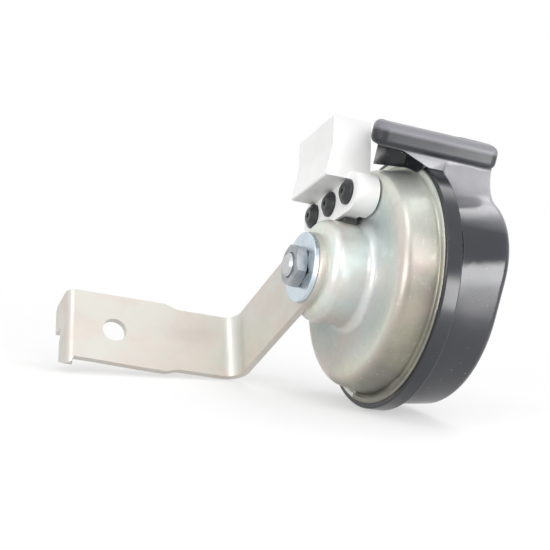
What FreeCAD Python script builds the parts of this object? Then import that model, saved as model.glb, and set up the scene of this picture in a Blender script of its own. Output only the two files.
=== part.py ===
import FreeCAD, Part
import math
import os

from FreeCAD import Vector

# A vehicle horn of the snail kind on its angle bracket. All sizes are in millimetres.
# The horn is drawn about its own axis, X, with the bracket's seat on the housing at x = 0,
# the trumpet towards +X and the trumpet's mouth up, +Z. At the end every piece is moved so
# that the origin is the centre of the bracket's mounting hole, on the face seen from outside.

# Sheet steel housing
SHEET = 1.2
POT_RADIUS = 17.5
POT_DEPTH = 15.0
POT_CORNER = 4.0
POT_FILLET = 3.0
BOWL_RADIUS = 36.8
BOWL_MOUTH_RADIUS = 39.0
BOWL_CORNER = 4.5
FLANGE_X = 27.2
FLANGE_RADIUS = 40.8
FLANGE_FILLET = 1.2

# Clamped stack in front of the housing's flange
GASKET = 0.4
DIAPHRAGM = 0.3
RING_SHEET = 1.0
RING_RADIUS = 42.0
RING_INNER = 35.5
RING_LIP = 1.7
RING_LIP_SHEET = 0.8
RING_ROUND = 0.6
SHELL_GASKET = 0.5

# Stud, nut and washer
STUD_RADIUS = 4.0
STUD_END_X = -9.5
STUD_CHAMFER = 0.8
NUT_CHAMFER = 1.0
NUT_FACE_STEP = 0.2
NUT_BORE_CHAMFER = 0.5
NUT_BORE_MOUTH = 1.4
WASHER_ROUND = 0.4
WASHER_FOOT_ROUND = 0.25
NUT_ACROSS_FLATS = 13.0
NUT_HEIGHT = 4.0
NUT_BORE_GAP = 0.05
WASHER_RADIUS = 12.0
WASHER_THICKNESS = 1.8
HOLE_GAP = 0.25

# Angle bracket
STRAP = 2.5
STRAP_WIDTH = 24.6
STRAP_WIDE = 28.2
STRAP_BEND = 2.5
ARM_REACH = 60.7
WIDE_START_X = -25.5
WIDE_FULL_X = -30.0
STRAP_END_X = -67.0
LIP_DEPTH = 13.5
LIP_CHAMFER = 3.0
LIP_NOTCH = 3.2
LIP_NOTCH_DEPTH = 2.6
LIP_NOTCH_ROUND = 0.8
LIP_SLOPE = 7.5
LIP_SLOPE_WIDTH = 3.5
STEP_ROUND = 3.0
MOUNT_HOLE_RADIUS = 4.4
MOUNT_HOLE_X = -49.5
BRACKET_TURN = 42.0

# Magnet
CORE_RADIUS = 7.0
CORE_PAST_POT = 0.2
BOBBIN_WALL = 1.0
BOBBIN_RADIUS = 15.6
BOBBIN_GAP = 0.15
BOBBIN_SHORT = 1.0
BOBBIN_REAR_RADIUS = 13.0
COIL_RADIUS = 14.6
COIL_CORNER = 2.2

# Armature and diaphragm
ARMATURE_GAP = 0.9
ARMATURE_RADIUS = 9.0
ARMATURE_LENGTH = 6.2
ARMATURE_ROUND = 0.6
ROD_RADIUS = 3.0
ROD_GAP = 0.05
ROD_SINK = 3.0
SPACER_WALL = 2.4
ROD_HEAD_RADIUS = 5.0
ROD_HEAD = 1.3
ROD_HEAD_ROUND = 1.0
COLLAR_RADIUS = 13.0
COLLAR = 0.8
CLAMP_WASHER_RADIUS = 8.0
CLAMP_WASHER = 0.8

# Trumpet
SHELL_WALL = 1.9
RIM_RADIUS = 43.7
RIM_REAR_X = 26.9
RIM_GAP = 0.08
RIM_ROUND = 0.5
FLOOR = 1.6
FRONT_X = 51.5
DRUM_RADIUS = 41.3
DRUM_FRONT_RADIUS = 38.9
FAR_STEP = 4.0
BULGE_RADIUS = 24.6
BULGE_FRONT_RADIUS = 23.6
BULGE_RISE = 9.3
BULGE_FRONT_RISE = 13.4
NECK_NEAR_Y = -13.0
NECK_FAR_Y = 5.4
NECK_BLEND = 13.0
NECK_FOOT = 5.0
FRONT_EDGE = 3.6
THROAT_RADIUS = 7.5
MOUTH_REAR_X = 3.2
MOUTH_REAR_FAR_X = 12.6
MOUTH_TOP_Z = 54.0
LIP_BOTTOM_Z = 45.6
LIP_OUT = 2.0
LIP_OUT_FAR = 0.8
LIP_CORNER = 4.0
LIP_ROUND = 2.6
LIP_FRONT_ROUND = 5.4
LIP_FRONT_FOOT_ROUND = 2.7
HOOD_IN = 3.0
HOOD_ROUND = 2.0
HOOD_REAR_X = 8.5
HOOD_REAR_Z = 48.5
HOOD_FRONT_X = 26.6
HOOD_FRONT_Z = 42.1
HOOD_FAR_X = 15.0
HOOD_FAR_Z = 37.5
SHELL_SEAT = 0.2
BOWL_GAP = 0.8
WAY_ROUND = 2.4
WAY_LIP = 2.4
WAY_FRONT = 6.0
SPIRAL_WALL = 1.6
SPIRAL_START = 12.0
SPIRAL_STEP = 2.5
SPIRAL_END_Z = 28.6
SPIRAL_SINK = 0.4

# Connector
CONNECTOR_TURN = 28.0
SCREW_PITCH = 13.4
SCREW_HEIGHT = 24.4
SCREW_RADIUS = 1.75
SCREW_HEAD_RADIUS = 4.4
SCREW_HEAD = 2.3
SCREW_GAP = 0.15
SCREW_SKIRT = 0.8
SCREW_DOME = 2.0
RECESS_RADIUS = 0.9
RECESS_DEPTH = 1.1
RECESS_TAPER = 0.3
SCREW_PAST_BASE = 2.0
PLATE_HALF = 6.9
PLATE_REAR_X = 6.2
SEAL = 0.5
SEAL_INSET = 0.4
SADDLE = 1.7
SADDLE_REAR_X = 7.4
SADDLE_HALF = 9.5
SADDLE_FIT = 0.04
END_ROUND = 0.2
BLOCK_REAR_X = 0.0
BLOCK_SKIRT_X = -2.4
BLOCK_FRONT_GAP = 0.8
BLOCK_HALF = 14.0
BLOCK_FOOT = 29.0
BLOCK_STEP = 40.6
BLOCK_TOP = 51.5
BLOCK_ROUND = 0.6
STEP_CORNER = 4.0
SOCKET_WALL = 1.6
SOCKET_END_WALL = 3.0
SOCKET_FLOOR = 34.0
BLADE = 0.8
BLADE_WIDTH = 5.0
BLADE_Q = 6.7
BLADE_TOP = 47.0
BLADE_FOOT = 27.4
BLADE_GAP = 0.3
BLADE_SLOT_GAP = 0.6
BLADE_FIT = 0.05
BLADE_BEND = 0.4
BLADE_TAIL = 1.6
BLADE_CHAMFER = 0.3

# Contact breaker
BASE = 2.5
BASE_HALF_LENGTH = 17.6
BASE_HALF_WIDTH = 5.4
BASE_CORNER = 2.5
BOSS_RADIUS = 3.2
SMALL_NUT_RADIUS = 2.9
SMALL_NUT = 1.4
STRIP_WIDTH = 6.0
TONGUE_WIDTH = 5.0
CONTACT_MARGIN = 2.0
LEAF_BOSS = 2.9
LEAF = 0.4
CONTACT_HEIGHT = 2.0
ARM = 0.8
TONGUE_FOOT = 10.8
CONTACT_Q = -4.6
CONTACT_RADIUS = 1.5

# Places along the axis that follow from the sizes above
FLANGE_FRONT_X = FLANGE_X + SHEET
DIAPHRAGM_X = FLANGE_FRONT_X + GASKET
RING_GASKET_X = DIAPHRAGM_X + DIAPHRAGM
RING_X = RING_GASKET_X + GASKET
SHELL_GASKET_X = RING_X + RING_SHEET
FLOOR_X = SHELL_GASKET_X + SHELL_GASKET
SEAM_X = FLOOR_X + FLOOR
SEAL_X = POT_DEPTH - SEAL
BASE_X = POT_DEPTH + SHEET
CORE_END_X = POT_DEPTH + CORE_PAST_POT
BLOCK_FRONT_X = POT_DEPTH - BLOCK_FRONT_GAP
LEAF_X = BASE_X + BASE + LEAF_BOSS
ARM_X = LEAF_X + LEAF + CONTACT_HEIGHT
CONTACT_X = LEAF_X + LEAF + CONTACT_HEIGHT / 2
ARMATURE_X = CORE_END_X + ARMATURE_GAP
COLLAR_X = ARMATURE_X + ARMATURE_LENGTH
AXIS = Vector(1, 0, 0)
ORIGIN = Vector(0, 0, 0)

# How far a cutting tool runs past the face it cuts, and the fit of points that should meet
OVER = 1.0
MEET = 1e-6


def rounded(points, place):
    """Closed wire through (u, v, corner radius) points; place(u, v) gives the point in space."""
    count = len(points)
    ends = []
    for i in range(count):
        u, v, radius = points[i]
        before = points[i - 1]
        after = points[(i + 1) % count]
        a = Vector(before[0] - u, before[1] - v, 0)
        b = Vector(after[0] - u, after[1] - v, 0)
        a.normalize()
        b.normalize()
        if radius == 0:
            ends.append((Vector(u, v, 0), None, Vector(u, v, 0)))
            continue
        half = a.getAngle(b) / 2
        reach = radius / math.tan(half)
        corner = Vector(u, v, 0)
        middle = (a + b).normalize() * (radius / math.sin(half) - radius)
        ends.append((corner + a * reach, corner + middle, corner + b * reach))
    edges = []
    for i in range(count):
        start, middle, stop = [place(p.x, p.y) if p else None for p in ends[i]]
        if middle:
            edges.append(Part.Arc(start, middle, stop).toShape())
        following = ends[(i + 1) % count][0]
        following = place(following.x, following.y)
        if stop.distanceToPoint(following) > MEET:
            edges.append(Part.LineSegment(stop, following).toShape())
    return Part.Wire(Part.__sortEdges__(edges))


def lathe(points):
    """Solid of revolution about X from a closed (x, radius, corner radius) profile."""
    face = Part.Face(rounded(points, lambda x, r: Vector(x, 0, r)))
    return face.revolve(ORIGIN, AXIS, 360)


def plate(points, x_start, x_end):
    """Plate across the axis from a closed (y, z, corner radius) outline."""
    face = Part.Face(rounded(points, lambda y, z: Vector(x_start, y, z)))
    return face.extrude(Vector(x_end - x_start, 0, 0))


def side_plate(points, y_start, y_end):
    """Plate along the axis from a closed (x, z, corner radius) outline."""
    face = Part.Face(rounded(points, lambda x, z: Vector(x, y_start, z)))
    return face.extrude(Vector(0, y_end - y_start, 0))


def disc(x_start, x_end, radius, y=0.0, z=0.0):
    return Part.makeCylinder(radius, x_end - x_start, Vector(x_start, y, z), AXIS)


def ring(x_start, x_end, inner, outer):
    return disc(x_start, x_end, outer).cut(disc(x_start, x_end, inner))


def box(x0, x1, y0, y1, z0, z1):
    return Part.makeBox(x1 - x0, y1 - y0, z1 - z0, Vector(x0, y0, z0))


def rectangle(a0, a1, b0, b1, radius=0.0):
    return [(a0, b0, radius), (a1, b0, radius), (a1, b1, radius), (a0, b1, radius)]


def turned(shape, degrees):
    """The same shape turned about the axis, so that its Z leans towards +Y."""
    copy = shape.copy()
    copy.rotate(ORIGIN, AXIS, -degrees)
    return copy


def offset_path(path, thickness):
    """The open (x, r, corner radius) path moved to its right side, corners kept in step."""
    moved = []
    last = len(path) - 1
    for i in range(last + 1):
        normals = []
        for a, b in ((i - 1, i), (i, i + 1)):
            if a >= 0 and b <= last:
                run = Vector(path[b][0] - path[a][0], path[b][1] - path[a][1], 0).normalize()
                normals.append(Vector(run.y, -run.x, 0))
        bisector = Vector(0, 0, 0)
        for normal in normals:
            bisector = bisector + normal
        bisector.normalize()
        reach = thickness / bisector.dot(normals[0])
        radius = path[i][2]
        if radius:
            # the turn's sign tells whether the moved side is the inside of the bend
            before = Vector(path[i][0] - path[i - 1][0], path[i][1] - path[i - 1][1], 0)
            after = Vector(path[i + 1][0] - path[i][0], path[i + 1][1] - path[i][1], 0)
            inside = before.cross(after).z < 0
            radius = radius - thickness if inside else radius + thickness
        moved.append((path[i][0] + bisector.x * reach, path[i][1] + bisector.y * reach, radius))
    return moved


def screw_places():
    return [-SCREW_PITCH, 0.0, SCREW_PITCH]


# Housing and what is clamped at its flange

def rear_housing():
    stud_hole = STUD_RADIUS + HOLE_GAP
    outside = [
        (0, stud_hole, 0),
        (0, POT_RADIUS, POT_CORNER),
        (POT_DEPTH, POT_RADIUS, POT_FILLET),
        (POT_DEPTH, BOWL_RADIUS, BOWL_CORNER),
        (FLANGE_X, BOWL_MOUTH_RADIUS, FLANGE_FILLET),
        (FLANGE_X, FLANGE_RADIUS, 0),
    ]
    inside = offset_path(outside, SHEET)
    housing = lathe(outside + inside[::-1])
    for q in screw_places():
        housing = housing.cut(turned(screw_hole(q, POT_DEPTH, BASE_X), CONNECTOR_TURN))
    for q in (-BLADE_Q, BLADE_Q):
        slot = blade_slot(q, POT_DEPTH, BASE_X, BLADE_SLOT_GAP)
        housing = housing.cut(turned(slot, CONNECTOR_TURN))
    return housing


def flat_ring(x_start, thickness, inner):
    return ring(x_start, x_start + thickness, inner, FLANGE_RADIUS)


def clamp_ring():
    """Steel ring in front of the diaphragm, its edge rolled back over the housing's flange."""
    inner_wall = FLANGE_RADIUS + RIM_GAP
    lip_x = FLANGE_X - RING_LIP_SHEET
    profile = [
        (RING_X, RING_INNER, 0),
        (SHELL_GASKET_X, RING_INNER, 0),
        (SHELL_GASKET_X, RING_RADIUS, RING_ROUND),
        (lip_x, RING_RADIUS, RING_ROUND),
        (lip_x, RING_RADIUS - RING_LIP, 0),
        (FLANGE_X, RING_RADIUS - RING_LIP, 0),
        (FLANGE_X, inner_wall, 0),
        (RING_X, inner_wall, 0),
    ]
    return lathe(profile)


# Stud, nut, washer and bracket

def pole_core():
    profile = [
        (STUD_END_X, 0, 0),
        (STUD_END_X, STUD_RADIUS - STUD_CHAMFER, 0),
        (STUD_END_X + STUD_CHAMFER, STUD_RADIUS, 0),
        (SHEET, STUD_RADIUS, 0),
        (SHEET, CORE_RADIUS, 0),
        (CORE_END_X, CORE_RADIUS, ARMATURE_ROUND),
        (CORE_END_X, 0, 0),
    ]
    return lathe(profile)


def mounting_nut():
    rear = -STRAP - WASHER_THICKNESS - NUT_HEIGHT
    front = rear + NUT_HEIGHT
    corner = NUT_ACROSS_FLATS / math.sqrt(3)
    angles = [math.radians(60 * i) for i in range(6)]
    nut = plate([(corner * math.cos(a), corner * math.sin(a), 0) for a in angles], rear, front)
    face = NUT_ACROSS_FLATS / 2 - NUT_FACE_STEP
    crown = lathe([
        (rear, 0, 0),
        (rear, face, 0),
        (rear + NUT_CHAMFER, corner + OVER, 0),
        (front - NUT_CHAMFER, corner + OVER, 0),
        (front, face, 0),
        (front, 0, 0),
    ])
    bore_radius = STUD_RADIUS + NUT_BORE_GAP
    bore = lathe([
        (rear - OVER, 0, 0),
        (rear - OVER, STUD_RADIUS + NUT_BORE_MOUTH, 0),
        (rear + NUT_BORE_CHAMFER, bore_radius, 0),
        (front + OVER, bore_radius, 0),
        (front + OVER, 0, 0),
    ])
    return nut.common(crown).cut(bore)


def flat_washer():
    hole = STUD_RADIUS + HOLE_GAP
    return lathe([
        (-STRAP - WASHER_THICKNESS, hole, 0),
        (-STRAP - WASHER_THICKNESS, WASHER_RADIUS, WASHER_ROUND),
        (-STRAP, WASHER_RADIUS, WASHER_FOOT_ROUND),
        (-STRAP, hole, 0),
    ])


def mounting_bracket():
    half = STRAP_WIDTH / 2
    wide = STRAP_WIDE / 2
    outer_bend = STRAP_BEND + STRAP
    free = ARM_REACH + LIP_DEPTH
    # strap seen on its edge, bent down at the arm and folded again at its end
    edge_view = [
        (0, -half, 0),
        (0, ARM_REACH + STRAP, outer_bend),
        (STRAP_END_X + STRAP, ARM_REACH + STRAP, STRAP_BEND),
        (STRAP_END_X + STRAP, free, 0),
        (STRAP_END_X, free, 0),
        (STRAP_END_X, ARM_REACH, outer_bend),
        (-STRAP, ARM_REACH, STRAP_BEND),
        (-STRAP, -half, 0),
    ]
    face = Part.Face(rounded(edge_view, lambda x, y: Vector(x, y, -wide)))
    strap = face.extrude(Vector(0, 0, STRAP_WIDE))
    # outline of the seat, with its round end about the stud
    split = ARM_REACH - STRAP_BEND - OVER
    seat = disc(-STRAP, 0, half).fuse(box(-STRAP, 0, 0, split, -half, half))
    # outline of the arm, wider from its step to the end
    arm_outline = [
        (OVER, -half, 0),
        (WIDE_START_X, -half, STEP_ROUND),
        (WIDE_FULL_X, -wide, STEP_ROUND),
        (STRAP_END_X - OVER, -wide, 0),
        (STRAP_END_X - OVER, wide, 0),
        (WIDE_FULL_X, wide, STEP_ROUND),
        (WIDE_START_X, half, STEP_ROUND),
        (OVER, half, 0),
    ]
    arm_face = Part.Face(rounded(arm_outline, lambda x, z: Vector(x, split, z)))
    arm_blank = arm_face.extrude(Vector(0, free - split, 0))
    strap = strap.common(seat.fuse(arm_blank))
    # the lip's free edge: one corner cut off, the other sloped, and a notch in the middle
    notch = rectangle(free - LIP_NOTCH_DEPTH, free + LIP_NOTCH_DEPTH,
                      -LIP_NOTCH - OVER, -OVER, LIP_NOTCH_ROUND)
    chamfer = [(free, wide - LIP_CHAMFER, 0), (free, wide, 0), (free - LIP_CHAMFER, wide, 0)]
    slope = [(free, -wide + LIP_SLOPE_WIDTH, 0), (free, -wide, 0), (free - LIP_SLOPE, -wide, 0)]
    for outline in (notch, chamfer, slope):
        strap = strap.cut(plate(outline, STRAP_END_X - OVER, STRAP_END_X + STRAP + OVER))
    strap = strap.cut(disc(-STRAP - OVER, OVER, STUD_RADIUS + HOLE_GAP))
    hole_foot = Vector(MOUNT_HOLE_X, ARM_REACH - OVER, 0)
    strap = strap.cut(Part.makeCylinder(MOUNT_HOLE_RADIUS, STRAP + 2 * OVER, hole_foot, Vector(0, 1, 0)))
    return turned(strap, BRACKET_TURN)


def bracket_hole_centre():
    """Centre of the mounting hole on the arm's seen face, in the horn's own places."""
    point = Vector(MOUNT_HOLE_X, ARM_REACH, 0)
    turn = FreeCAD.Rotation(AXIS, -BRACKET_TURN)
    return turn.multVec(point)


# Magnet, armature and diaphragm

def coil_bobbin():
    rear = SHEET + BOBBIN_GAP
    front = CORE_END_X - BOBBIN_SHORT
    inner = CORE_RADIUS + BOBBIN_GAP
    tube = inner + BOBBIN_WALL
    return lathe([
        (rear, inner, 0),
        (rear, BOBBIN_REAR_RADIUS, 0),
        (rear + BOBBIN_WALL, BOBBIN_REAR_RADIUS + BOBBIN_WALL, 0),
        (rear + BOBBIN_WALL, tube, 0),
        (front - BOBBIN_WALL, tube, 0),
        (front - BOBBIN_WALL, BOBBIN_RADIUS, 0),
        (front, BOBBIN_RADIUS, 0),
        (front, inner, 0),
    ])


def coil_winding():
    rear = SHEET + BOBBIN_GAP + BOBBIN_WALL
    front = CORE_END_X - BOBBIN_SHORT - BOBBIN_WALL
    inner = CORE_RADIUS + BOBBIN_GAP + BOBBIN_WALL
    return lathe([
        (rear, inner, 0),
        (rear, BOBBIN_REAR_RADIUS, 0),
        (rear + COIL_CORNER, COIL_RADIUS, 0),
        (front, COIL_RADIUS, 0),
        (front, inner, 0),
    ])


def armature():
    return lathe([
        (ARMATURE_X, 0, 0),
        (ARMATURE_X, ARMATURE_RADIUS, ARMATURE_ROUND),
        (COLLAR_X, ARMATURE_RADIUS, ARMATURE_ROUND),
        (COLLAR_X, ROD_RADIUS, 0),
        (COLLAR_X - ROD_SINK, ROD_RADIUS, 0),
        (COLLAR_X - ROD_SINK, 0, 0),
    ])


def armature_collar():
    """Insulating washer that pushes the contact leaf when the armature is drawn in."""
    return ring(COLLAR_X, COLLAR_X + COLLAR, ROD_RADIUS, COLLAR_RADIUS)


def armature_spacer():
    return ring(COLLAR_X + COLLAR, DIAPHRAGM_X - CLAMP_WASHER, ROD_RADIUS, ROD_RADIUS + SPACER_WALL)


def armature_rod():
    head_x = RING_GASKET_X + CLAMP_WASHER
    rear = COLLAR_X - ROD_SINK
    return lathe([
        (rear, 0, 0),
        (rear, ROD_RADIUS, 0),
        (head_x, ROD_RADIUS, 0),
        (head_x, ROD_HEAD_RADIUS, 0),
        (head_x + ROD_HEAD, ROD_HEAD_RADIUS, ROD_HEAD_ROUND),
        (head_x + ROD_HEAD, 0, 0),
    ])


def diaphragm():
    return ring(DIAPHRAGM_X, RING_GASKET_X, ROD_RADIUS + ROD_GAP, FLANGE_RADIUS)


def diaphragm_washer(x_start):
    return ring(x_start, x_start + CLAMP_WASHER, ROD_RADIUS, CLAMP_WASHER_RADIUS)


# Trumpet

def trumpet_rear_shell():
    """Round dish behind the sound duct: its floor has the throat and its rim grips the ring."""
    inner = RING_RADIUS + RIM_GAP
    return lathe([
        (RIM_REAR_X, inner, 0),
        (RIM_REAR_X, RIM_RADIUS, RIM_ROUND),
        (SEAM_X, RIM_RADIUS, RIM_ROUND),
        (SEAM_X, THROAT_RADIUS, 0),
        (FLOOR_X, THROAT_RADIUS, 0),
        (FLOOR_X, inner, 0),
    ])


def snail_outline(x, drum, far_step, bulge, rise, shrink, top):
    """Outline of the snail across the axis: spiral drum, bulge, neck walls up to the mouth."""
    near_y = NECK_NEAR_Y + shrink
    far_y = NECK_FAR_Y - shrink
    blend = NECK_BLEND + shrink
    foot = NECK_FOOT + shrink

    def at(y, z):
        return Vector(x, y, z)

    def arc(centre_y, centre_z, radius, start, stop):
        """Edge of an arc between two angles from +Z towards +Y, with its two ends."""
        ends = []
        for angle in (start, (start + stop) / 2, stop):
            turn = math.radians(angle)
            ends.append(at(centre_y + radius * math.sin(turn), centre_z + radius * math.cos(turn)))
        return Part.Arc(*ends).toShape(), ends[0], ends[2]

    # bulge circle on the near side, tangent to a short straight wall
    bulge_y = bulge - drum
    # blend circle, tangent to the bulge from outside and to the neck's near wall
    blend_y = near_y - blend
    blend_z = rise + math.sqrt((bulge + blend) ** 2 - (blend_y - bulge_y) ** 2)
    touch = math.degrees(math.atan2(blend_y - bulge_y, blend_z - rise))
    # the far side steps in by two smaller quarters, as the duct's first turn does
    quarter_two = drum - far_step
    quarter_three = quarter_two - far_step
    # foot fillet between the third quarter and the neck's far wall
    foot_y = far_y + foot
    foot_z = -far_step + math.sqrt((quarter_three + foot) ** 2 - (foot_y - far_step) ** 2)
    foot_touch = math.degrees(math.atan2(foot_y - far_step, foot_z + far_step))

    blend_stop = blend_end(blend_z, blend, top)
    blend_edge, _, blend_top = arc(blend_y, blend_z, blend, touch + 180, blend_stop)
    bulge_edge, bulge_foot, _ = arc(bulge_y, rise, bulge, -90, touch)
    first, _, first_top = arc(0, 0, drum, -180, -90)
    second, _, _ = arc(0, -far_step, quarter_two, 90, 180)
    third, _, _ = arc(far_step, -far_step, quarter_three, foot_touch, 90)
    foot_edge, foot_top, _ = arc(foot_y, foot_z, foot, -90, foot_touch - 180)
    corner_near = at(blend_top.y, top)
    corner_far = at(far_y, top)
    edges = [blend_edge, bulge_edge, first, second, third, foot_edge]
    edges.append(Part.LineSegment(first_top, bulge_foot).toShape())
    if blend_top.distanceToPoint(corner_near) > MEET:
        edges.append(Part.LineSegment(blend_top, corner_near).toShape())
    edges.append(Part.LineSegment(corner_near, corner_far).toShape())
    edges.append(Part.LineSegment(corner_far, foot_top).toShape())
    return Part.Wire(Part.__sortEdges__(edges))


def blend_end(blend_z, blend, top):
    """Angle at which the blend arc ends: where it is upright, or at the neck's top if lower."""
    if blend_z <= top:
        return 90.0
    return math.degrees(math.acos((top - blend_z) / blend))


def snail_solid(x_start, x_end, shrink, top):
    base = snail_outline(x_start, DRUM_RADIUS - shrink, FAR_STEP, BULGE_RADIUS - shrink,
                         BULGE_RISE, shrink, top)
    front = snail_outline(x_end, DRUM_FRONT_RADIUS - shrink, FAR_STEP, BULGE_FRONT_RADIUS - shrink,
                          BULGE_FRONT_RISE, shrink, top)
    return Part.makeLoft([base, front], True, True)


def duct_partition(body):
    """Wall of the spiral duct: quarter arcs that grow by an even step, then run to the neck."""
    x_start = SEAM_X
    length = FRONT_X - SHELL_WALL - SEAM_X + SPIRAL_SINK
    half = SPIRAL_WALL / 2
    radius = SPIRAL_START
    centre = Vector(0, 0, 0)
    pieces = []
    for i in range(4):
        angle = 270 + 90 * i
        pieces.append(quarter(centre, radius - half, radius + half, angle, x_start, length))
        turn = math.radians(angle + 90)
        centre = centre - Vector(0, math.sin(turn), math.cos(turn)) * SPIRAL_STEP
        radius = radius + SPIRAL_STEP
    # straight rise on the near side, a last quarter at the neck's foot and a run into its wall
    near = centre.y - radius
    rise = SPIRAL_END_Z - radius
    pieces.append(box(x_start, x_start + length, near - half, near + half, centre.z - SPIRAL_SINK, rise))
    top = Vector(0, centre.y, rise)
    pieces.append(quarter(top, radius - half, radius + half, 270, x_start, length))
    pieces.append(box(x_start, x_start + length, centre.y, NECK_FAR_Y + NECK_FOOT,
                      SPIRAL_END_Z - half, SPIRAL_END_Z + half))
    wall = pieces[0].multiFuse(pieces[1:])
    return wall.common(body)


def quarter(centre, inner, outer, angle, x_start, length):
    """Quarter of a round wall about the centre, from the given angle towards larger ones."""
    def at(radius, degrees):
        turn = math.radians(degrees)
        return Vector(x_start, centre.y + radius * math.sin(turn), centre.z + radius * math.cos(turn))
    edges = [
        Part.Arc(at(inner, angle), at(inner, angle + 45), at(inner, angle + 90)).toShape(),
        Part.LineSegment(at(inner, angle + 90), at(outer, angle + 90)).toShape(),
        Part.Arc(at(outer, angle + 90), at(outer, angle + 45), at(outer, angle)).toShape(),
        Part.LineSegment(at(outer, angle), at(inner, angle)).toShape(),
    ]
    return Part.Face(Part.Wire(edges)).extrude(Vector(length, 0, 0))


def mouth_plan(z, inset, front):
    """Outline of the mouth seen from above; its rear edge slants to pass the connector."""
    near = NECK_NEAR_Y - LIP_OUT + inset
    far = NECK_FAR_Y + LIP_OUT_FAR - inset
    outline = [
        (MOUTH_REAR_X + inset, near, LIP_CORNER),
        (front, near, LIP_CORNER),
        (front, far, LIP_CORNER),
        (MOUTH_REAR_FAR_X + inset, far, LIP_CORNER),
    ]
    return rounded(outline, lambda x, y: Vector(x, y, z))


def under_hood(lift):
    """Room below the hood's slanted underside, moved into the hood by lift."""
    rear = Vector(HOOD_REAR_X, NECK_NEAR_Y, HOOD_REAR_Z)
    front = Vector(HOOD_FRONT_X, NECK_NEAR_Y, HOOD_FRONT_Z)
    far = Vector(HOOD_FAR_X, NECK_FAR_Y, HOOD_FAR_Z)
    up = (front - rear).cross(far - rear).normalize()
    size = 4 * DRUM_RADIUS
    slab = Part.makeBox(size, size, size, Vector(-size / 2, -size / 2, -size))
    slab.rotate(ORIGIN, Vector(0, 0, 1).cross(up), math.degrees(up.getAngle(Vector(0, 0, 1))))
    slab.translate(rear + up * lift)
    return slab.common(box(-size, SEAM_X + lift, -size, size, -size, size))


def housing_room(lift):
    """Room for the housing's bowl and the rear shell's rim, grown by lift."""
    step_x = RIM_REAR_X - BOWL_GAP - lift
    return lathe([
        (0, 0, 0),
        (0, BOWL_RADIUS + BOWL_GAP + lift, 0),
        (step_x, BOWL_MOUTH_RADIUS + BOWL_GAP + lift, 0),
        (step_x, RIM_RADIUS + SHELL_SEAT + lift, 0),
        (SEAM_X + lift, RIM_RADIUS + SHELL_SEAT + lift, 0),
        (SEAM_X + lift, 0, 0),
    ])


def mouth_outside():
    """Rolled lip about the mouth and the hood that carries it back over the housing's rim."""
    lip = Part.Face(mouth_plan(LIP_BOTTOM_Z, 0, FRONT_X)).extrude(Vector(0, 0, MOUTH_TOP_Z - LIP_BOTTOM_Z))
    levels = (LIP_BOTTOM_Z, MOUTH_TOP_Z)
    rims = [e for e in lip.Edges if e.BoundBox.ZLength < MEET
            and min(abs(e.BoundBox.ZMin - z) for z in levels) < MEET]
    lip = lip.makeFillet(LIP_ROUND, rims)
    side = [
        (0, LIP_BOTTOM_Z, 0),
        (FRONT_X, LIP_BOTTOM_Z, LIP_FRONT_FOOT_ROUND),
        (FRONT_X, MOUTH_TOP_Z, LIP_FRONT_ROUND),
        (0, MOUTH_TOP_Z, 0),
    ]
    lip = lip.common(side_plate(side, -DRUM_RADIUS, DRUM_RADIUS))
    hood_plan = [
        (MOUTH_REAR_X + HOOD_IN, NECK_NEAR_Y, HOOD_ROUND),
        (SEAM_X + OVER, NECK_NEAR_Y, 0),
        (SEAM_X + OVER, NECK_FAR_Y, 0),
        (MOUTH_REAR_FAR_X + HOOD_IN, NECK_FAR_Y, HOOD_ROUND),
    ]
    hood_face = Part.Face(rounded(hood_plan, lambda x, y: Vector(x, y, HOOD_FAR_Z)))
    hood = hood_face.extrude(Vector(0, 0, LIP_BOTTOM_Z + LIP_ROUND - HOOD_FAR_Z)).cut(under_hood(0))
    return lip.fuse(hood).cut(housing_room(0))


def mouth_inside():
    """Flared way from the duct up to the mouth, a wall inside the hood and the lip."""
    wall = SHELL_WALL
    near = NECK_NEAR_Y + wall
    far = NECK_FAR_Y - wall
    neck_rear = SEAM_X + wall
    front = FRONT_X - wall
    slant = MOUTH_REAR_FAR_X - MOUTH_REAR_X
    drop = (MOUTH_TOP_Z - SPIRAL_END_Z) / 6
    rear = MOUTH_REAR_X + WAY_LIP
    sections = [
        (0, rear, slant, FRONT_X - WAY_FRONT, near - wall, far + OVER),
        (1, rear + wall, slant, front - wall, near, far),
        (2, rear + 2 * HOOD_IN, slant / 2, front, near, far),
        (3, neck_rear - 2 * WAY_FRONT, 0, front, near, far),
        (5, neck_rear, 0, front, near, far),
    ]
    wires = []
    for step, x, lean, x_front, y0, y1 in sections:
        corners = [(x, y0), (x_front, y0), (x_front, y1), (x + lean, y1)]
        outline = [(*corner, WAY_ROUND) for corner in corners]
        level = MOUTH_TOP_Z - step * drop
        wires.append(rounded(outline, lambda u, v, z=level: Vector(u, v, z)))
    way = Part.makeLoft(wires, True, True)
    return way.cut(under_hood(wall)).cut(housing_room(wall))


def trumpet_front_shell():
    """Front half of the snail with its spiral duct, neck, flared mouth and rolled lip."""
    body = snail_solid(SEAM_X, FRONT_X, 0, LIP_BOTTOM_Z + LIP_ROUND)
    edges = [e for e in body.Edges
             if e.BoundBox.XMin > FRONT_X - OVER and e.BoundBox.ZMin < LIP_BOTTOM_Z]
    body = body.makeFillet(FRONT_EDGE, edges)
    hollow = snail_solid(SEAM_X, FRONT_X - SHELL_WALL, SHELL_WALL, LIP_BOTTOM_Z)
    shell = body.fuse(mouth_outside()).cut(hollow).cut(mouth_inside())
    return shell.fuse(duct_partition(body)).removeSplitter()


# Connector, in its own places: q along the row of screws, height p away from the axis

def screw_hole(q, x_start, x_end):
    """Cutting tool for one screw's hole through a plate."""
    return disc(x_start - OVER, x_end + OVER, SCREW_RADIUS + SCREW_GAP, q, SCREW_HEIGHT)


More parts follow.
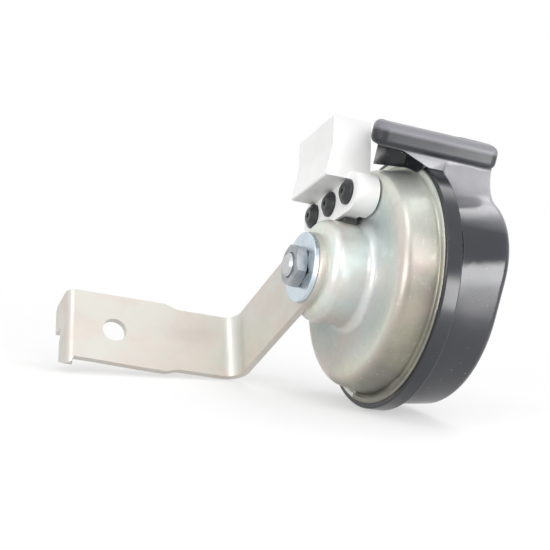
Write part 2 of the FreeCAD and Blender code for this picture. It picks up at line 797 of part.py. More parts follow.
def blade_slot(q, x_start, x_end, gap):
    """Cutting tool for one blade's slot through a plate, with a gap all round the blade."""
    half = BLADE_WIDTH / 2 + gap
    low = BLADE_FOOT - BLADE / 2 - gap
    return box(x_start - OVER, x_end + OVER, q - half, q + half, low, low + BLADE + 2 * gap)


def foot_plate(x_start, x_end, inset):
    """Plate with round ends about the row of screws."""
    half = PLATE_HALF - inset
    reach = BLOCK_HALF + half
    return plate(rectangle(-reach, reach, SCREW_HEIGHT - half, SCREW_HEIGHT + half, half - END_ROUND),
                 x_start, x_end)


def connector_body():
    body = foot_plate(PLATE_REAR_X, SEAL_X, 0)
    side = [
        (BLOCK_FRONT_X, BLOCK_FOOT, 0),
        (BLOCK_FRONT_X, BLOCK_TOP, BLOCK_ROUND),
        (BLOCK_REAR_X, BLOCK_TOP, BLOCK_ROUND),
        (BLOCK_REAR_X, BLOCK_STEP, STEP_CORNER),
        (BLOCK_SKIRT_X, BLOCK_FOOT, BLOCK_ROUND),
    ]
    body = body.fuse(side_plate(side, -BLOCK_HALF, BLOCK_HALF))
    socket_half = BLOCK_HALF - SOCKET_END_WALL
    body = body.cut(box(BLOCK_REAR_X + SOCKET_WALL, BLOCK_FRONT_X - SOCKET_WALL,
                        -socket_half, socket_half, SOCKET_FLOOR, BLOCK_TOP + OVER))
    for q in screw_places():
        body = body.cut(screw_hole(q, PLATE_REAR_X, SEAL_X))
    for q in (-BLADE_Q, BLADE_Q):
        body = body.cut(terminal_shape(q, BLADE_FIT))
    return turned(body.cut(saddle_shape(BLADE_FIT)).cut(pot_clearance()), CONNECTOR_TURN)


def pot_clearance():
    """Room for the housing's pot and the fillet at its foot."""
    pot = disc(BLOCK_SKIRT_X - OVER, POT_DEPTH, POT_RADIUS + BLADE_FIT)
    fillet_room = disc(POT_DEPTH - POT_FILLET, POT_DEPTH, POT_RADIUS + POT_FILLET + BLADE_FIT)
    return pot.fuse(fillet_room)


def saddle_shape(gap):
    """Stretch of a ring over the pot, below the foot plate, grown by a gap."""
    front = POT_DEPTH - POT_FILLET
    height = POT_RADIUS + SADDLE + gap
    half = SADDLE_HALF + gap
    arc = ring(SADDLE_REAR_X, front, POT_RADIUS + SADDLE_FIT, height)
    return arc.common(box(0, front, -half, half, 0, height))


def saddle_seal():
    """Rubber strip between the pot and the connector's foot."""
    return turned(saddle_shape(0), CONNECTOR_TURN)


def connector_gasket():
    gasket = foot_plate(SEAL_X, POT_DEPTH, SEAL_INSET)
    for q in screw_places():
        gasket = gasket.cut(screw_hole(q, SEAL_X, POT_DEPTH))
    for q in (-BLADE_Q, BLADE_Q):
        gasket = gasket.cut(blade_slot(q, SEAL_X, POT_DEPTH, BLADE_GAP))
    return turned(gasket.cut(pot_clearance()), CONNECTOR_TURN)


def screw(q, end_x):
    """Domed screw with a small round recess in its head."""
    under = PLATE_REAR_X
    crown = under - SCREW_HEAD
    profile = [
        (under, 0, 0),
        (under, SCREW_HEAD_RADIUS, 0),
        (under - SCREW_SKIRT, SCREW_HEAD_RADIUS, SCREW_SKIRT / 2),
        (crown, SCREW_HEAD_RADIUS - SCREW_DOME, SCREW_SKIRT),
        (crown, RECESS_RADIUS, 0),
        (crown + RECESS_DEPTH, RECESS_RADIUS - RECESS_TAPER, 0),
        (crown + RECESS_DEPTH, 0, 0),
    ]
    shape = lathe(profile).fuse(disc(under, end_x, SCREW_RADIUS))
    shape.translate(Vector(0, q, SCREW_HEIGHT))
    return turned(shape, CONNECTOR_TURN)


def connector_screws():
    """The two outer screws; the middle one of the row is the adjusting screw."""
    return Part.makeCompound([screw(q, BASE_X + BASE + SCREW_PAST_BASE) for q in (-SCREW_PITCH, SCREW_PITCH)])


def adjusting_screw():
    return screw(0.0, ARM_X)


def terminal_shape(q, gap):
    """Blade: upright tab in the socket, then turned along the axis through the shoulder."""
    half = BLADE_WIDTH / 2 + gap
    middle = (BLOCK_REAR_X + BLOCK_FRONT_X) / 2
    side = BLADE / 2 + gap
    tail_x = BASE_X + BASE + BLADE_TAIL
    outline = [
        (middle - side, BLADE_FOOT - side, BLADE + BLADE_BEND),
        (middle - side, BLADE_TOP, 0),
        (middle + side, BLADE_TOP, 0),
        (middle + side, BLADE_FOOT + side, BLADE_BEND),
        (tail_x, BLADE_FOOT + side, 0),
        (tail_x, BLADE_FOOT - side, 0),
    ]
    return side_plate(outline, q - half, q + half)


def terminal_blade(q):
    blade = terminal_shape(q, 0)
    tip = [e for e in blade.Edges
           if e.BoundBox.ZMin > BLADE_TOP - MEET - BLADE and e.BoundBox.YLength > BLADE]
    return turned(blade.makeChamfer(BLADE_CHAMFER, tip), CONNECTOR_TURN)


# Contact breaker behind the connector, on the inside of the housing's shoulder

def contact_base():
    low = SCREW_HEIGHT - BASE_HALF_WIDTH
    high = SCREW_HEIGHT + BASE_HALF_WIDTH
    front = BASE_X + BASE
    base = plate(rectangle(-BASE_HALF_LENGTH, BASE_HALF_LENGTH, low, high, BASE_CORNER), BASE_X, front)
    # bosses under the root of the leaf and of the fixed arm
    for q, top in ((-SCREW_PITCH, LEAF_X), (SCREW_PITCH, ARM_X)):
        base = base.fuse(disc(front, top, BOSS_RADIUS, q, SCREW_HEIGHT))
    for q in screw_places():
        base = base.cut(screw_hole(q, BASE_X, ARM_X))
    for q in (-BLADE_Q, BLADE_Q):
        base = base.cut(blade_slot(q, BASE_X, front, BLADE_FIT))
    return turned(base, CONNECTOR_TURN)


def leaf_strip(x_start, x_end, q_root, q_end):
    """Flat strip with a hole over its boss at q_root, running to q_end."""
    half = STRIP_WIDTH / 2
    away = BOSS_RADIUS if q_root > q_end else -BOSS_RADIUS
    low = min(q_root + away, q_end)
    high = max(q_root + away, q_end)
    strip = box(x_start, x_end, low, high, SCREW_HEIGHT - half, SCREW_HEIGHT + half)
    return strip.cut(screw_hole(q_root, x_start, x_end))


def moving_contact_leaf():
    """Spring leaf from its boss to the contact, with a tongue down to the armature's collar."""
    end = CONTACT_Q + CONTACT_MARGIN
    leaf = leaf_strip(LEAF_X, LEAF_X + LEAF, -SCREW_PITCH, end)
    tongue = box(LEAF_X, LEAF_X + LEAF, end - TONGUE_WIDTH, end, TONGUE_FOOT, SCREW_HEIGHT)
    return turned(leaf.fuse(tongue).removeSplitter(), CONNECTOR_TURN)


def fixed_contact_arm():
    arm = leaf_strip(ARM_X, ARM_X + ARM, SCREW_PITCH, CONTACT_Q - CONTACT_MARGIN)
    return turned(arm, CONNECTOR_TURN)


def contact_point(x_start, x_end):
    return turned(disc(x_start, x_end, CONTACT_RADIUS, CONTACT_Q, SCREW_HEIGHT), CONNECTOR_TURN)


def contact_nuts():
    """Thin nuts that hold the leaf and the fixed arm on the outer screws."""
    nuts = []
    for q, x_start in ((-SCREW_PITCH, LEAF_X + LEAF), (SCREW_PITCH, ARM_X + ARM)):
        nut = disc(x_start, x_start + SMALL_NUT, SMALL_NUT_RADIUS, q, SCREW_HEIGHT)
        nuts.append(turned(nut.cut(screw_hole(q, x_start, x_start + SMALL_NUT)), CONNECTOR_TURN))
    return Part.makeCompound(nuts)


NODES = {
    "mounting_bracket": mounting_bracket,
    "flat_washer": flat_washer,
    "mounting_nut": mounting_nut,
    "pole_core": pole_core,
    "rear_housing": rear_housing,
    "coil_bobbin": coil_bobbin,
    "coil_winding": coil_winding,
    "armature": armature,
    "armature_rod": armature_rod,
    "armature_collar": armature_collar,
    "armature_spacer": armature_spacer,
    "diaphragm": diaphragm,
    "diaphragm_washer_rear": lambda: diaphragm_washer(DIAPHRAGM_X - CLAMP_WASHER),
    "diaphragm_washer_front": lambda: diaphragm_washer(RING_GASKET_X),
    "housing_gasket": lambda: flat_ring(FLANGE_FRONT_X, GASKET, RING_INNER),
    "diaphragm_gasket": lambda: flat_ring(RING_GASKET_X, GASKET, RING_INNER),
    "clamp_ring": clamp_ring,
    "shell_gasket": lambda: flat_ring(SHELL_GASKET_X, SHELL_GASKET, RING_INNER),
    "trumpet_rear_shell": trumpet_rear_shell,
    "trumpet_front_shell": trumpet_front_shell,
    "connector_body": connector_body,
    "connector_gasket": connector_gasket,
    "saddle_seal": saddle_seal,
    "connector_screws": connector_screws,
    "adjusting_screw": adjusting_screw,
    "terminal_blade_near": lambda: terminal_blade(-BLADE_Q),
    "terminal_blade_far": lambda: terminal_blade(BLADE_Q),
    "contact_base": contact_base,
    "moving_contact_leaf": moving_contact_leaf,
    "fixed_contact_arm": fixed_contact_arm,
    "moving_contact": lambda: contact_point(LEAF_X + LEAF, CONTACT_X),
    "fixed_contact": lambda: contact_point(CONTACT_X, ARM_X),
    "contact_nuts": contact_nuts,
}


def main():
    os.makedirs("parts", exist_ok=True)
    origin = bracket_hole_centre()
    for name, make in NODES.items():
        shape = make()
        shape.translate(-origin)
        if not shape.isValid():
            print(name, "is not valid")
        print(name, len(shape.Solids), "solids", round(shape.Volume, 1), "mm3")
        shape.exportStep("parts/%s.step" % name)
    print("horn axis starts at", [round(-value, 3) for value in origin])


main()
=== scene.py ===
"""Looks of a snail horn on its bracket: materials, thread, rebuilt bracket and mouth, light and camera."""

import math

import bmesh
import bpy
from mathutils import Matrix, Vector


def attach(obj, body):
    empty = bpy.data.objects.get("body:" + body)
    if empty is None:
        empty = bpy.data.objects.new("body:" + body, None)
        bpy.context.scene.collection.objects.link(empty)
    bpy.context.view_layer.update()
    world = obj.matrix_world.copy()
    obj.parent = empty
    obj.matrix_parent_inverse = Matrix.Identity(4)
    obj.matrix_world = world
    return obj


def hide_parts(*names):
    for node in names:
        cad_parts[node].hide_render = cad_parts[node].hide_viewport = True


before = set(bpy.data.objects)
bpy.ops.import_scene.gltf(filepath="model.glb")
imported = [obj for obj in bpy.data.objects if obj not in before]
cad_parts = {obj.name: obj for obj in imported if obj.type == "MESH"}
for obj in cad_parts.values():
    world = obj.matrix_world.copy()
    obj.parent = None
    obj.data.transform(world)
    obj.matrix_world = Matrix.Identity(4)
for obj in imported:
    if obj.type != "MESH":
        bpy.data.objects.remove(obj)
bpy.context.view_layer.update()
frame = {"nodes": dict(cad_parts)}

# Places in the frame, in metres. The horn's own axis runs along X through AXIS_Y, AXIS_Z.
MILLIMETRE = 0.001
AXIS_Y = -45.109 * MILLIMETRE
AXIS_Z = 40.616 * MILLIMETRE
SEAT_X = 49.5 * MILLIMETRE
BODY_RADIUS = 43.7 * MILLIMETRE

# Camera: position, direction of view and roll, and its focal length in pixels of the photograph
CAMERA_PLACE = Vector((-0.12267, -0.44263, 0.09610))
CAMERA_AZIMUTH = -21.91
CAMERA_ELEVATION = 7.93
CAMERA_ROLL = 13.26
FOCAL_PIXELS = 1300.0
PICTURE_WIDTH = 550.0
SENSOR_WIDTH = 36.0
CLIP_START = 0.01

# The horn lies on its bracket's bend and on the trumpet's rim: the table's normal in the frame
TABLE_NORMAL = Vector((-0.0837, 0.1111, 0.9903)).normalized()
TABLE_HALF_SIZE = 1.6
TABLE_COLOUR = 0.40
TABLE_GLOW = 0.50
TABLE_FADE_START = 0.13
TABLE_FADE_STOP = 0.30


# Sockets of a Mix node that share their names: its numbers, its colours and its colour result
MIX_NUMBERS = (2, 3)
MIX_COLOURS = (6, 7)
MIX_COLOUR_RESULT = 2


# Short calls for node trees and meshes

def math_node(tree, operation, first, second=0.0):
    """Output of a Math node; each input is a number or another node's output."""
    node = tree.nodes.new("ShaderNodeMath")
    node.operation = operation
    for index, value in enumerate((first, second)):
        if isinstance(value, (int, float)):
            node.inputs[index].default_value = value
        else:
            tree.links.new(value, node.inputs[index])
    return node.outputs[0]


def smooth_range(tree, value, low, high, start, stop):
    """Output of a Map Range node that eases from start to stop between low and high."""
    node = tree.nodes.new("ShaderNodeMapRange")
    node.interpolation_type = "SMOOTHSTEP"
    tree.links.new(value, node.inputs["Value"])
    for name, number in (("From Min", low), ("From Max", high), ("To Min", start), ("To Max", stop)):
        node.inputs[name].default_value = number
    return node.outputs["Result"]


def linked(name, bm):
    """New object in the scene from a bmesh, which is used up."""
    mesh = bpy.data.meshes.new(name)
    bm.to_mesh(mesh)
    bm.free()
    piece = bpy.data.objects.new(name, mesh)
    bpy.context.collection.objects.link(piece)
    return piece


def close_tube(bm, rows):
    """Faces between equal closed rows of corners, and a face over each end."""
    count = len(rows[0])
    for before, after in zip(rows, rows[1:]):
        for j in range(count):
            k = (j + 1) % count
            bm.faces.new((before[j], before[k], after[k], after[j]))
    bm.faces.new(rows[0])
    bm.faces.new(rows[-1])


def shape_with_modifiers(piece):
    """The piece's mesh as its modifiers leave it, put in place of its own."""
    shape = bpy.data.meshes.new_from_object(piece.evaluated_get(bpy.context.evaluated_depsgraph_get()))
    piece.modifiers.clear()
    piece.data = shape
    return shape


def finish_shell(piece, material, node, place):
    """Weighted normals, place in the frame, material, body and replaced node of a rebuilt piece."""
    normals = piece.modifiers.new("normals", "WEIGHTED_NORMAL")
    normals.keep_sharp = True
    piece.data.transform(place)
    piece.data.materials.clear()
    piece.data.materials.append(material)
    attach(piece, "horn")
    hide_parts(node)


# Materials

class Look:
    """A node material with short calls for the nodes that the looks below share."""

    def __init__(self, name, metallic=0.0, roughness=0.4, coat=0.0):
        self.material = bpy.data.materials.new(name)
        self.material.use_nodes = True
        self.tree = self.material.node_tree
        self.shader = self.tree.nodes["Principled BSDF"]
        self.shader.inputs["Metallic"].default_value = metallic
        self.shader.inputs["Roughness"].default_value = roughness
        self.shader.inputs["Coat Weight"].default_value = coat
        self.place = self.tree.nodes.new("ShaderNodeNewGeometry").outputs["Position"]

    def add(self, kind, **settings):
        node = self.tree.nodes.new(kind)
        for key, value in settings.items():
            setattr(node, key, value)
        return node

    def join(self, source, target):
        self.tree.links.new(source, target)

    def mapped(self, scale, offset=(0, 0, 0)):
        """Position in the frame, moved and then scaled for a texture."""
        moved = self.add("ShaderNodeVectorMath", operation="SUBTRACT")
        self.join(self.place, moved.inputs[0])
        moved.inputs[1].default_value = offset
        scaled = self.add("ShaderNodeVectorMath", operation="MULTIPLY")
        self.join(moved.outputs[0], scaled.inputs[0])
        scaled.inputs[1].default_value = scale
        return scaled.outputs[0]

    def noise(self, scale, detail=4.0, roughness=0.55, vector=None):
        node = self.add("ShaderNodeTexNoise")
        self.join(self.place if vector is None else vector, node.inputs["Vector"])
        node.inputs["Scale"].default_value = scale
        node.inputs["Detail"].default_value = detail
        node.inputs["Roughness"].default_value = roughness
        return node.outputs["Fac"]

    def spread(self, value, low, high, start=0.0, stop=1.0):
        """The value mapped from low..high to start..stop, held at both ends."""
        node = self.add("ShaderNodeMapRange")
        self.join(value, node.inputs["Value"])
        for name, number in (("From Min", low), ("From Max", high), ("To Min", start), ("To Max", stop)):
            node.inputs[name].default_value = number
        return node.outputs["Result"]

    def ramp(self, value, stops):
        node = self.add("ShaderNodeValToRGB")
        self.join(value, node.inputs["Fac"])
        elements = node.color_ramp.elements
        while len(elements) < len(stops):
            elements.new(0.5)
        for element, (position, colour) in zip(elements, stops):
            element.position = position
            element.color = (*colour, 1.0)
        return node.outputs["Color"]

    def mix(self, factor, first, second, blend="MIX"):
        node = self.add("ShaderNodeMix", data_type="RGBA", blend_type=blend)
        if isinstance(factor, float):
            node.inputs["Factor"].default_value = factor
        else:
            self.join(factor, node.inputs["Factor"])
        for index, colour in zip(MIX_COLOURS, (first, second)):
            if isinstance(colour, tuple):
                node.inputs[index].default_value = (*colour, 1.0)
            else:
                self.join(colour, node.inputs[index])
        return node.outputs[MIX_COLOUR_RESULT]

    def combine(self, operation, first, second):
        return math_node(self.tree, operation, first, second)

    def drawn_rings(self, distance, turn):
        """Texture place that is stretched around the axis, for marks left by spinning or drawing."""
        place = self.add("ShaderNodeCombineXYZ")
        self.join(self.combine("MULTIPLY", distance, RINGS_PER_METRE), place.inputs["X"])
        self.join(self.combine("MULTIPLY", turn, RINGS_PER_RADIAN), place.inputs["Y"])
        return place.outputs[0]

    def colour(self, value):
        self.join(value, self.shader.inputs["Base Color"])

    def rough(self, value):
        self.join(value, self.shader.inputs["Roughness"])

    def bump(self, height, distance, strength=0.5):
        node = self.add("ShaderNodeBump")
        self.join(height, node.inputs["Height"])
        node.inputs["Distance"].default_value = distance
        node.inputs["Strength"].default_value = strength
        self.join(node.outputs["Normal"], self.shader.inputs["Normal"])
        self.join(node.outputs["Normal"], self.shader.inputs["Coat Normal"])

    def edge_wear(self, radius=0.0006):
        """1 on convex edges, 0 on flat ground, from the difference of a bevelled normal."""
        bevel = self.add("ShaderNodeBevel", samples=4)
        bevel.inputs["Radius"].default_value = radius
        geometry = self.add("ShaderNodeNewGeometry")
        dot = self.add("ShaderNodeVectorMath", operation="DOT_PRODUCT")
        self.join(bevel.outputs["Normal"], dot.inputs[0])
        self.join(geometry.outputs["Normal"], dot.inputs[1])
        return self.spread(dot.outputs["Value"], *WORN_EDGE)

    def from_axis(self):
        """Y and Z measured from the horn's axis, as two values."""
        split = self.add("ShaderNodeSeparateXYZ")
        self.join(self.mapped((1, 1, 1), (0, AXIS_Y, AXIS_Z)), split.inputs[0])
        return split.outputs["Y"], split.outputs["Z"]

    def about_axis(self):
        """Distance from the horn's axis and turn about it, as two values."""
        y, z = self.from_axis()
        square = self.combine("ADD", self.combine("MULTIPLY", y, y), self.combine("MULTIPLY", z, z))
        return self.combine("SQRT", square, 0.0), self.combine("ARCTAN2", y, z)


# Marks of spinning on drawn sheet, and the cosine of a bevelled normal from sound to worn edge
RINGS_PER_METRE = 1800.0
RINGS_PER_RADIAN = 2.0
WORN_EDGE = (0.995, 0.9)

# Film tints by distance from the axis, as a share of the body's radius; the darker last housing zones are
# painted shade on the bowl's side wall and flange
HOUSING_ZONES = [
    (0.0, (0.74, 0.80, 0.74)), (0.36, (0.72, 0.79, 0.73)), (0.46, (0.60, 0.67, 0.68)),
    (0.62, (0.54, 0.62, 0.61)), (0.78, (0.62, 0.64, 0.58)), (0.83, (0.58, 0.52, 0.47)),
    (0.86, (0.44, 0.43, 0.38)), (0.90, (0.30, 0.30, 0.27))]
RING_ZONES = [(0.0, (0.46, 0.47, 0.42)), (1.0, (0.40, 0.41, 0.37))]
FILM_YELLOW = (0.66, 0.63, 0.47)
FILM_PINK = (0.72, 0.58, 0.56)
# Colour of the painted shade on the lower near side
PAINTED_SHADE_COLOUR = (0.60, 0.59, 0.56)
FILM_SPECK = (0.42, 0.42, 0.40)
SCRATCH_COLOUR = (0.84, 0.85, 0.80)
STAIN_COLOUR = (0.44, 0.43, 0.36)

STRAP_HUES = [
    (0.25, (0.64, 0.63, 0.56)), (0.42, (0.66, 0.64, 0.59)), (0.52, (0.65, 0.59, 0.54)),
    (0.62, (0.64, 0.64, 0.59)), (0.8, (0.61, 0.63, 0.60))]
STRAP_GRAIN = (0.56, 0.54, 0.49)

# Pale painted highlight on the bowl's upper corner and browner painted shade on its lower near side: turn
# about the axis in radians, from none to full
PAINTED_HIGHLIGHT_COLOUR = (0.78, 0.82, 0.76)
PAINTED_HIGHLIGHT_TURN = (-1.25, -0.45)
PAINTED_SHADE_TURN = (-0.7, -1.5)

# Dust, a painted highlight on the lip's crown, a painted sheen on the neck and a duller lip on the black
# shell, from none to full, in metres from the axis
# Painted highlight on the crown of the mouth's lip: its colour and height
PAINTED_LIP_HIGHLIGHT_COLOUR = (0.19, 0.19, 0.21)
PAINTED_LIP_HIGHLIGHT_Z = (0.0502, 0.0514)
# Painted sheen on the neck's near wall: its colour and where it lies
PAINTED_SHEEN_COLOUR = (0.30, 0.30, 0.32)
PAINTED_SHEEN_NEAR_Y = (-0.0105, -0.0125)
PAINTED_SHEEN_LOW_Z = (0.027, 0.038)
PAINTED_SHEEN_HIGH_Z = (0.0462, 0.0452)
DULL_LIP_Z = (0.0445, 0.0465)
DULL_LIP = 0.22
DUST_COLOUR = (0.6, 0.6, 0.6)
DUST_CELLS = 420.0


def passivated(name, zones, roughness=0.36):
    """Zinc plate under a thin rainbow film: tints by distance from the axis, and past the bowl's corner a
    painted highlight on the upper side and a browner painted shade on the lower near side.
    """
    look = Look(name, metallic=0.6)
    distance, turn = look.about_axis()
    drift = look.spread(look.noise(24.0, detail=3.0), 0.2, 0.8, -0.07, 0.07)
    share = look.combine("DIVIDE", distance, BODY_RADIUS)
    # Film tints from the zones; the housing's darker outer zones are painted shade
    film_and_painted_light = look.ramp(look.combine("ADD", share, drift), zones)
    yellow = look.noise(60.0, vector=look.mapped((1.0, 1.0, 0.5)))
    film_and_painted_light = look.mix(look.spread(yellow, 0.46, 0.66, 0.0, 0.5), film_and_painted_light, FILM_YELLOW)
    pink = look.noise(41.0, detail=3.0, vector=look.mapped((1, 1, 1), (0.3, 0.1, 0.2)))
    film_and_painted_light = look.mix(look.spread(pink, 0.48, 0.68, 0.0, 0.5), film_and_painted_light, FILM_PINK)
    # Painted highlight on the upper side past the bowl's corner
    painted_highlight = look.combine("MULTIPLY", look.spread(turn, *PAINTED_HIGHLIGHT_TURN),
                         look.spread(share, 0.76, 0.84, 0.0, 0.8))
    film_and_painted_light = look.mix(painted_highlight, film_and_painted_light, PAINTED_HIGHLIGHT_COLOUR)
    # Browner painted shade on the lower near side
    painted_shade = look.combine("MULTIPLY", look.spread(turn, *PAINTED_SHADE_TURN), look.spread(share, 0.78, 0.86))
    film_and_painted_light = look.mix(painted_shade, film_and_painted_light, PAINTED_SHADE_COLOUR, "MULTIPLY")
    fine = look.noise(420.0, detail=5.0)
    film_and_painted_light = look.mix(look.spread(fine, 0.4, 0.75, 0.0, 0.16), film_and_painted_light, FILM_SPECK)
    scratches = look.noise(520.0, detail=2.0, vector=look.mapped((3.0, 0.3, 1.2), (0.1, 0.2, 0.3)))
    film_and_painted_light = look.mix(look.spread(scratches, 0.66, 0.72, 0.0, 0.25), film_and_painted_light, SCRATCH_COLOUR)
    stains = look.noise(70.0, detail=6.0, roughness=0.7, vector=look.mapped((1, 1, 1), (0.5, 0.4, 0.1)))
    look.colour(look.mix(look.spread(stains, 0.56, 0.72, 0.0, 0.4), film_and_painted_light, STAIN_COLOUR))
    look.rough(look.spread(fine, 0.3, 0.7, roughness - 0.05, roughness + 0.08))
    rings = look.noise(1.0, detail=2.0, vector=look.drawn_rings(distance, turn))
    look.bump(look.combine("ADD", rings, look.combine("MULTIPLY", fine, 0.4)), 0.00003, 0.4)
    return look.material


def plated(name, colour, roughness=0.3, stain=0.12):
    """Plated steel of one colour with light stains, dulled towards its edges."""
    look = Look(name, metallic=1.0)
    cloud = look.noise(220.0, detail=5.0)
    dark = tuple(c * (1 - stain) for c in colour)
    light = tuple(min(1.0, c * (1 + stain)) for c in colour)
    body = look.mix(look.spread(cloud, 0.3, 0.7), dark, light)
    worn = tuple(min(1.0, 0.25 + c * 0.85) for c in colour)
    look.colour(look.mix(look.edge_wear(0.0003), body, worn))
    look.rough(look.spread(cloud, 0.3, 0.7, roughness - 0.05, roughness + 0.12))
    look.bump(look.noise(1500.0, detail=3.0), 0.00003, 0.4)
    return look.material


def strap_steel(name):
    """Zinc plated strap: warm cream silver with pink and yellow patches and a soft satin."""
    look = Look(name, metallic=0.85)
    hues = look.ramp(look.noise(34.0, detail=3.0, roughness=0.6), STRAP_HUES)
    grain = look.noise(60.0, detail=6.0, vector=look.mapped((0.12, 1.0, 1.0)))
    look.colour(look.mix(look.spread(grain, 0.35, 0.7, 0.0, 0.35), hues, STRAP_GRAIN))
    look.rough(look.spread(grain, 0.3, 0.7, 0.36, 0.52))
    look.bump(grain, 0.00006, 0.3)
    return look.material


def painted_sheen(look, y, z):
    """1 where a painted sheen lies on the neck's near wall below the trumpet's mouth."""
    near = look.spread(y, *PAINTED_SHEEN_NEAR_Y)
    uneven = look.spread(look.noise(90.0), 0.3, 0.7, 0.8, 1.0)
    between = look.combine("MULTIPLY", look.spread(z, *PAINTED_SHEEN_LOW_Z), look.spread(z, *PAINTED_SHEEN_HIGH_Z))
    return look.combine("MULTIPLY", look.combine("MULTIPLY", near, uneven), between)


def dust_and_painted_light(look, body, dust_and_sheen):
    """White dust in patches, a painted sheen on the neck and a painted highlight on the crown of the
    mouth's lip.
    """
    cells = look.add("ShaderNodeTexVoronoi", feature="F1")
    look.join(look.place, cells.inputs["Vector"])
    cells.inputs["Scale"].default_value = DUST_CELLS
    specks = look.spread(cells.outputs["Distance"], 0.10, 0.04)
    patches = look.spread(look.noise(45.0), 0.48, 0.62)
    dusted = look.combine("MULTIPLY", look.combine("MULTIPLY", specks, patches), dust_and_sheen)
    body = look.mix(dusted, body, DUST_COLOUR)
    y, z = look.from_axis()
    # Painted sheen on the neck's near wall
    body = look.mix(painted_sheen(look, y, z), body, PAINTED_SHEEN_COLOUR)
    # Painted highlight on the crown of the mouth's lip
    return look.mix(look.spread(z, *PAINTED_LIP_HIGHLIGHT_Z), body, PAINTED_LIP_HIGHLIGHT_COLOUR)


def moulded(name, colour, roughness, grain=0.00002, dust_and_sheen=0.0):
    """Moulded plastic: faint flow clouds, a fine skin and scuffed edges, and if dusty the shell's dust,
    painted sheen and painted lip highlight.
    """
    look = Look(name, roughness=roughness)
    cloud = look.noise(30.0, detail=3.0)
    dim = tuple(c * 0.85 for c in colour)
    body = look.mix(look.spread(cloud, 0.3, 0.7), dim, colour)
    scuffed = tuple(min(1.0, c + 0.05) for c in colour)
    body = look.mix(look.combine("MULTIPLY", look.edge_wear(), 0.5), body, scuffed)
    if dust_and_sheen:
        body = dust_and_painted_light(look, body, dust_and_sheen)
    look.colour(body)
    smears = look.noise(55.0, detail=5.0, vector=look.mapped((1.0, 0.5, 1.6)))
    dulled = look.spread(smears, 0.35, 0.7, roughness - 0.04, roughness + 0.10)
    if dust_and_sheen:
        lip = look.spread(look.from_axis()[1], *DULL_LIP_Z, 0.0, DULL_LIP)
        dulled = look.combine("ADD", dulled, lip)
    look.rough(dulled)
    look.bump(look.noise(2200.0, detail=2.0), grain, 0.4)
    return look.material


def wound_copper(name):
    """Enamelled wire: fine turns along the coil."""
    look = Look(name, metallic=0.8, roughness=0.3, coat=0.5)
    turns = look.add("ShaderNodeTexWave", wave_type="BANDS", bands_direction="X")
    look.join(look.place, turns.inputs["Vector"])
    turns.inputs["Scale"].default_value = 500.0
    look.colour(look.mix(turns.outputs["Fac"], (0.36, 0.12, 0.05), (0.72, 0.32, 0.15)))
    look.bump(turns.outputs["Fac"], 0.0002, 0.8)
    return look.material


def build_materials():
    shell_black = (0.020, 0.021, 0.027)
    looks = {
        "rear_housing": passivated("housing_zinc", HOUSING_ZONES),
        "clamp_ring": passivated("ring_zinc", RING_ZONES),
        "mounting_bracket": strap_steel("bracket_steel"),
        "flat_washer": plated("washer_steel", (0.60, 0.68, 0.74), 0.26, 0.10),
        "mounting_nut": plated("nut_steel", (0.35, 0.37, 0.39), 0.30, 0.25),
        "pole_core": plated("core_steel", (0.55, 0.56, 0.57)),
        "trumpet_rear_shell": moulded("rear_shell_black", shell_black, 0.2),
        "trumpet_front_shell": moulded("shell_black", shell_black, 0.18, dust_and_sheen=0.8),
        "connector_body": moulded("connector_white", (0.95, 0.95, 0.945), 0.38, 0.00004),
        "saddle_seal": moulded("saddle_rubber", (0.035, 0.035, 0.036), 0.55),
        "connector_gasket": moulded("seal_rubber", (0.03, 0.03, 0.03), 0.6),
        "connector_screws": moulded("screw_dark", (0.022, 0.023, 0.026), 0.24, 0.00006),
        "contact_base": moulded("base_brown", (0.09, 0.055, 0.035), 0.5),
        "coil_bobbin": moulded("bobbin_nylon", (0.80, 0.77, 0.68), 0.45),
        "coil_winding": wound_copper("copper_wire"),
        "armature": plated("armature_iron", (0.45, 0.46, 0.47), 0.38),
        "armature_collar": moulded("collar_fibre", (0.32, 0.15, 0.07), 0.6, 0.0001),
        "diaphragm": plated("diaphragm_steel", (0.56, 0.56, 0.55), 0.25),
        "terminal_blade_near": plated("blade_tin", (0.70, 0.70, 0.67), 0.3),
        "moving_contact_leaf": plated("leaf_bronze", (0.66, 0.46, 0.24), 0.3),
        "fixed_contact_arm": plated("arm_brass", (0.70, 0.56, 0.28), 0.32),
        "moving_contact": plated("contact_tungsten", (0.38, 0.38, 0.39), 0.35),
        "housing_gasket": moulded("gasket_board", (0.06, 0.06, 0.06), 0.75, 0.0001),
    }
    shared = {
        "adjusting_screw": "connector_screws", "terminal_blade_far": "terminal_blade_near",
        "fixed_contact": "moving_contact", "diaphragm_gasket": "housing_gasket",
        "shell_gasket": "housing_gasket", "armature_rod": "pole_core", "armature_spacer": "pole_core",
        "diaphragm_washer_rear": "pole_core", "diaphragm_washer_front": "pole_core",
        "contact_nuts": "pole_core",
    }
    for node, like in shared.items():
        looks[node] = looks[like]
    return looks


def dress_nodes(looks):
    for name, piece in frame["nodes"].items():
        for slot in piece.material_slots:
            slot.material = looks[name]


# The stud's thread, which the frame leaves out. Sizes in millimetres along the horn's axis.
STUD_RADIUS = 4.0
THREAD_PITCH = 1.25
THREAD_START_X = -9.4
THREAD_END_X = -7.2
THREAD_STEPS = 36
THREAD_FADE_STEPS = 9.0
# Profile in shares of the pitch: half its foot, half its crest, its depth, and its crest past the shank
THREAD_FOOT = 0.48
THREAD_CREST = 0.06
THREAD_DEPTH = 0.55
THREAD_PAST = 0.12


